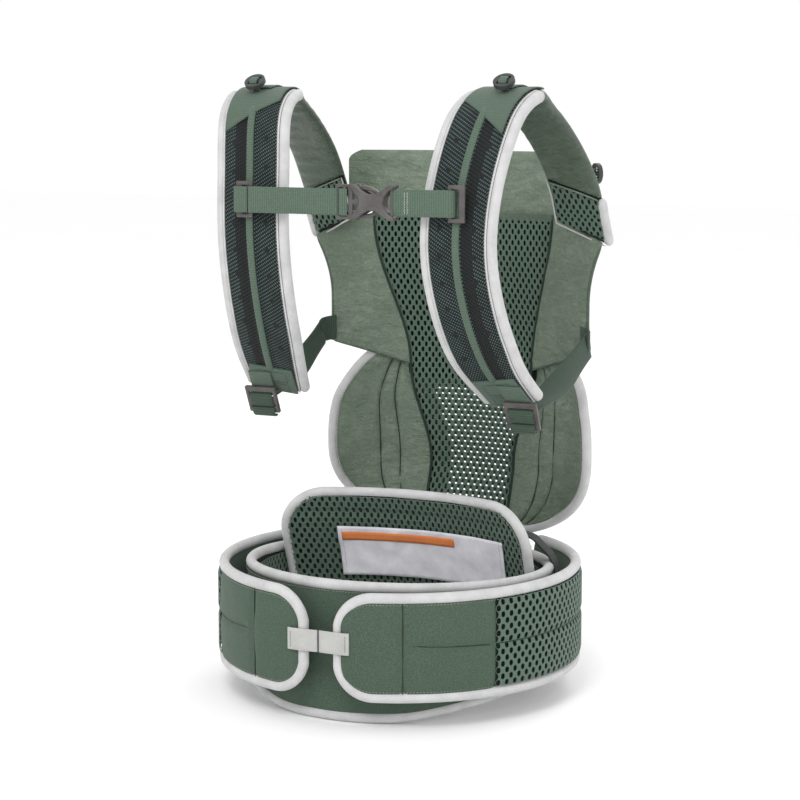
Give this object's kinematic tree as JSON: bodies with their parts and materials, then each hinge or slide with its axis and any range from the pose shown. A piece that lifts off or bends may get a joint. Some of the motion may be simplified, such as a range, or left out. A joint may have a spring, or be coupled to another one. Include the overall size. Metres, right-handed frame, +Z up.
{
  "type": "soft baby carrier",
  "caption": "Soft baby carrier: padded waist belt, mesh child panel with a seat, fold-back headrest, padded shoulder straps and a buckled chest strap.",
  "frame": {"origin": "middle of the bounding box at the floor, under the waist belt", "axes": "+X to the right seen from the belt's open front, +Y towards the child panel, +Z up"},
  "size_m": [0.3654, 0.3804, 0.6128],
  "materials": {
    "sage_nylon": "crinkled light nylon",
    "forest_heather": "soft heather knit",
    "forest_mesh": "open spacer mesh",
    "black_mesh": "fine spacer mesh",
    "green_webbing": "ribbed webbing",
    "grey_piping": "soft edge binding",
    "black_elastic": "woven elastic",
    "grey_plastic": "satin moulded plastic",
    "label_cloth": "plain woven label"
  },
  "bodies": {
    "belt": {"lumbar_band": "forest_heather", "band_binding_top": "grey_piping", "band_binding_left": "grey_piping", "band_binding_right": "grey_piping", "belly_pad": "forest_heather", "belly_pad_binding": "grey_piping", "care_label": "label_cloth", "belt_back": "forest_heather", "belt_elastic_left": "black_elastic", "belt_elastic_right": "black_elastic"},
    "wing_left": {"wing_left": "forest_heather", "wing_binding_left": "grey_piping", "wing_tab_left": "grey_piping"},
    "wing_right": {"wing_right": "forest_heather", "wing_binding_right": "grey_piping", "wing_tab_right": "grey_piping"},
    "panel": {"panel_left": "sage_nylon", "panel_right": "sage_nylon", "panel_mesh": "forest_mesh", "seat_left": "sage_nylon", "seat_right": "sage_nylon", "seat_binding": "grey_piping", "sleeve_left": "sage_nylon", "sleeve_right": "sage_nylon", "sleeve_binding_left": "grey_piping", "sleeve_binding_right": "grey_piping", "anchor_web_left": "green_webbing", "anchor_web_right": "green_webbing", "adjuster_left": "green_webbing", "adjuster_right": "green_webbing"},
    "headrest": {"headrest": "sage_nylon"},
    "chest_left": {"chest_slider_left": "grey_plastic", "chest_web_left": "green_webbing"},
    "chest_right": {"chest_slider_right": "grey_plastic", "chest_web_right": "green_webbing", "buckle_socket": "grey_plastic"},
    "buckle_plug": {"buckle_plug": "grey_plastic"},
    "prong_upper": {"buckle_prong_upper": "grey_plastic"},
    "prong_lower": {"buckle_prong_lower": "grey_plastic"},
    "strap_left": {"strap_pad_left": "black_mesh", "strap_binding_left": "grey_piping", "strap_rail_left": "green_webbing", "patch_top_left": "green_webbing", "patch_bottom_left": "green_webbing", "sling_left": "green_webbing"},
    "lock_left": {"ladder_lock_left": "grey_plastic"},
    "toggle_front_left": {"toggle_front_left": "grey_plastic"},
    "toggle_rear_left": {"toggle_rear_left": "grey_plastic"},
    "strap_right": {"strap_pad_right": "black_mesh", "strap_binding_right": "grey_piping", "strap_rail_right": "green_webbing", "patch_top_right": "green_webbing", "patch_bottom_right": "green_webbing", "sling_right": "green_webbing"},
    "lock_right": {"ladder_lock_right": "grey_plastic"},
    "toggle_front_right": {"toggle_front_right": "grey_plastic"},
    "toggle_rear_right": {"toggle_rear_right": "grey_plastic"}
  },
  "joints": [
    {"name": "panel_recline", "type": "hinge", "parent": "belt", "child": "panel", "pos_m": [0, 0.174, 0.128], "axis": [-1, 0, 0], "range_deg": [-6, 35]},
    {"name": "headrest_fold", "type": "hinge", "parent": "panel", "child": "headrest", "pos_m": [0, 0.174, 0.467], "axis": [-1, 0, 0], "range_deg": [0, 150]},
    {"name": "strap_left_lift", "type": "hinge", "parent": "panel", "child": "strap_left", "pos_m": [0, 0.02337, 0.5807], "axis": [-1, 0, 0], "range_deg": [-5, 30], "deforming": ["adjuster_left"]},
    {"name": "strap_right_lift", "type": "hinge", "parent": "panel", "child": "strap_right", "pos_m": [0, 0.02337, 0.5807], "axis": [-1, 0, 0], "range_deg": [-5, 30], "deforming": ["adjuster_right"]},
    {"name": "wing_left_open", "type": "hinge", "parent": "belt", "child": "wing_left", "pos_m": [-0.0831, 0.15228, 0.08], "axis": [0, 0, -1], "range_deg": [0, 45]},
    {"name": "wing_right_open", "type": "hinge", "parent": "belt", "child": "wing_right", "pos_m": [0.0831, 0.15228, 0.08], "axis": [0, 0, 1], "range_deg": [0, 45]},
    {"name": "chest_left_travel", "type": "slide", "parent": "strap_left", "child": "chest_left", "axis": [0, 0.1321, 0.9912], "range_m": [-0.02, 0.02]},
    {"name": "chest_right_travel", "type": "slide", "parent": "strap_right", "child": "chest_right", "axis": [0, 0.1321, 0.9912], "range_m": [-0.02, 0.02]},
    {"name": "buckle_release", "type": "slide", "parent": "chest_left", "child": "buckle_plug", "axis": [-1, 0, 0], "range_m": [0, 0.032], "deforming": ["chest_web_left"]},
    {"name": "prong_upper_press", "type": "hinge", "parent": "buckle_plug", "child": "prong_upper", "pos_m": [0.0074, -0.121, 0.50265], "axis": [0, 1, 0], "range_deg": [0, 6], "stiffness_Nm_per_rad": 0.002},
    {"name": "prong_lower_press", "type": "hinge", "parent": "buckle_plug", "child": "prong_lower", "pos_m": [0.0074, -0.121, 0.48335], "axis": [0, -1, 0], "range_deg": [0, 6], "stiffness_Nm_per_rad": 0.002},
    {"name": "lock_left_tilt", "type": "hinge", "parent": "strap_left", "child": "lock_left", "pos_m": [-0.14178, -0.0377, 0.30327], "axis": [1, 0, 0], "range_deg": [-20, 12]},
    {"name": "toggle_front_left_tilt", "type": "hinge", "parent": "strap_left", "child": "toggle_front_left", "pos_m": [-0.13219, -0.05767, 0.60477], "axis": [1, 0, 0], "range_deg": [-20, 20]},
    {"name": "toggle_rear_left_tilt", "type": "hinge", "parent": "panel", "child": "toggle_rear_left", "pos_m": [-0.15998, 0.12165, 0.51376], "axis": [0, 0, -1], "range_deg": [-20, 20]},
    {"name": "lock_right_tilt", "type": "hinge", "parent": "strap_right", "child": "lock_right", "pos_m": [0.14178, -0.0377, 0.30327], "axis": [1, 0, 0], "range_deg": [-20, 12]},
    {"name": "toggle_front_right_tilt", "type": "hinge", "parent": "strap_right", "child": "toggle_front_right", "pos_m": [0.13219, -0.05767, 0.60477], "axis": [1, 0, 0], "range_deg": [-20, 20]},
    {"name": "toggle_rear_right_tilt", "type": "hinge", "parent": "panel", "child": "toggle_rear_right", "pos_m": [0.15998, 0.12165, 0.51376], "axis": [0, 0, 1], "range_deg": [-20, 20]}
  ],
  "couplings": [
    {"joint": "strap_right_lift", "follows": "strap_left_lift", "ratio": 1},
    {"joint": "chest_right_travel", "follows": "chest_left_travel", "ratio": 1},
    {"joint": "prong_lower_press", "follows": "prong_upper_press", "ratio": 1}
  ]
}
